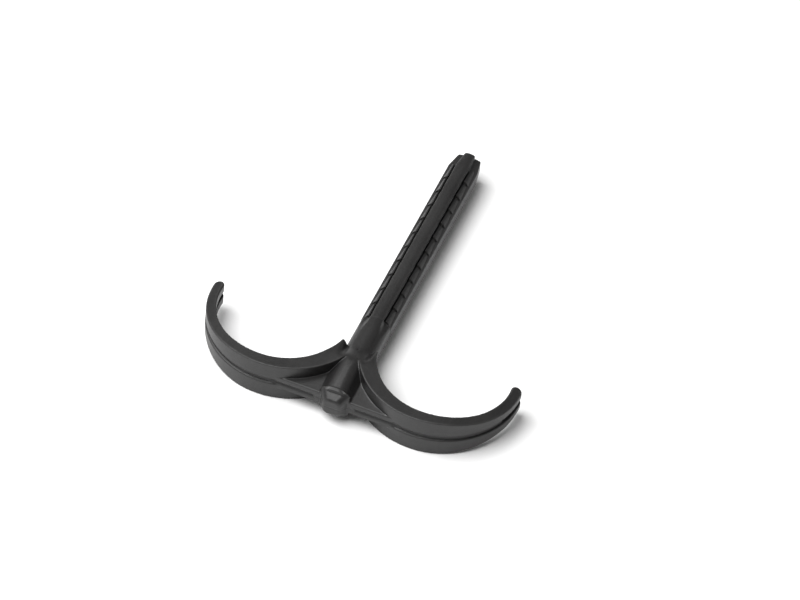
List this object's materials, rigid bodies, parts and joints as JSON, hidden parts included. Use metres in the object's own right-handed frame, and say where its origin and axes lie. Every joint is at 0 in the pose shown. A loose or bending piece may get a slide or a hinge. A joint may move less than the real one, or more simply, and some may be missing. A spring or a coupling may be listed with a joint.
{
  "type": "double pipe hook",
  "caption": "Double pipe hook in black plastic: two open pipe seats side by side on one barbed shank that is driven into a drilled hole.",
  "frame": {"origin": "on the shank's axis, level with the centres of both pipe seats, at mid-thickness", "axes": "+X from one hook to the other, +Y along the shank to its tip, +Z through the hook's thickness"},
  "size_m": [0.0784, 0.0876, 0.011],
  "materials": {
    "moulding": "satin"
  },
  "bodies": {
    "root": {"shank_root": "moulding", "shank_core": "moulding", "shank_tip": "moulding", "barbs_upper_left": "moulding", "barbs_upper_right": "moulding", "barbs_lower_left": "moulding", "barbs_lower_right": "moulding", "hub_block": "moulding", "strike_spine": "moulding", "strike_boss": "moulding", "web_left": "moulding", "web_right": "moulding", "arm_core_left": "moulding", "arm_core_right": "moulding", "upper_rail_left": "moulding", "upper_rail_right": "moulding", "lower_rail_left": "moulding", "lower_rail_right": "moulding"}
  },
  "joints": []
}
